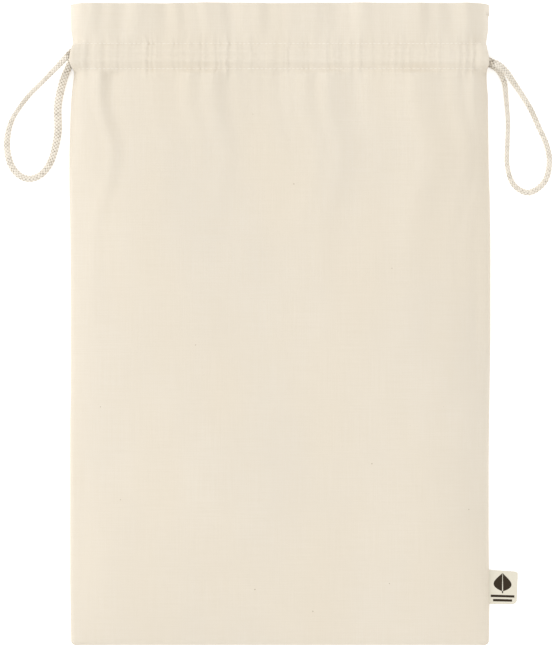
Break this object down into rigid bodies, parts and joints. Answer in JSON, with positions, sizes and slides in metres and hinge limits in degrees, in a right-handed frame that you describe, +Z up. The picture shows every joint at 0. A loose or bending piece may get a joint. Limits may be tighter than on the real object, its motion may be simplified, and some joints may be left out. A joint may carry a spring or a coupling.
{
  "type": "fabric gift sack",
  "caption": "Flat natural cotton drawstring gift sack with a folded top hem, a stitched cord channel, braided drawcord loops at both side slits and a folded side label.",
  "frame": {"origin": "centre of the flat underside of the back panel, with the sack lying on its back", "axes": "+X across the sack towards the label's side seam, +Y along it towards the mouth, +Z up out of the front panel"},
  "size_m": [0.3855, 0.45, 0.0185],
  "materials": {
    "cotton_cloth": "plain-weave unbleached cotton, matte",
    "cotton_thread": "fine cotton sewing thread, matte",
    "cotton_cord": "round braided unbleached cotton cord, matte",
    "label_tape": null
  },
  "bodies": {
    "root": {"front_panel": "cotton_cloth", "back_panel": "cotton_cloth", "front_hem": "cotton_cloth", "back_hem": "cotton_cloth", "left_side_seam": "cotton_cloth", "right_side_seam": "cotton_cloth", "bottom_seam": "cotton_cloth", "front_upper_stitch": "cotton_thread", "front_lower_stitch": "cotton_thread", "back_upper_stitch": "cotton_thread", "back_lower_stitch": "cotton_thread"},
    "left_cord": {"left_cord_run": "cotton_cord", "left_cord_join": "cotton_thread"},
    "right_cord": {"right_cord_run": "cotton_cord", "right_cord_join": "cotton_thread"},
    "left_loop": {"left_cord_loop": "cotton_cord"},
    "right_loop": {"right_cord_loop": "cotton_cord"},
    "label": {"side_label": "label_tape"}
  },
  "joints": [
    {"name": "left_cord_pull", "type": "slide", "parent": "root", "child": "left_cord", "axis": [-1, 0, 0], "range_m": [0, 0.095], "deforming": ["front_panel", "back_panel", "front_hem", "back_hem"]},
    {"name": "right_cord_pull", "type": "slide", "parent": "root", "child": "right_cord", "axis": [1, 0, 0], "range_m": [0, 0.095], "deforming": ["front_panel", "back_panel", "front_hem", "back_hem"]},
    {"name": "left_loop_swing", "type": "hinge", "parent": "left_cord", "child": "left_loop", "pos_m": [-0.1455, 0.19025, 0.0092], "axis": [0, 0, -1], "range_deg": [0, 90]},
    {"name": "right_loop_swing", "type": "hinge", "parent": "right_cord", "child": "right_loop", "pos_m": [0.1455, 0.18425, 0.0092], "axis": [0, 0, 1], "range_deg": [0, 90]},
    {"name": "label_flip", "type": "hinge", "parent": "root", "child": "label", "pos_m": [0.149, -0.184, 0.0012], "axis": [0, -1, 0], "range_deg": [0, 120]}
  ],
  "couplings": [
    {"joint": "right_cord_pull", "follows": "left_cord_pull", "ratio": 1}
  ]
}
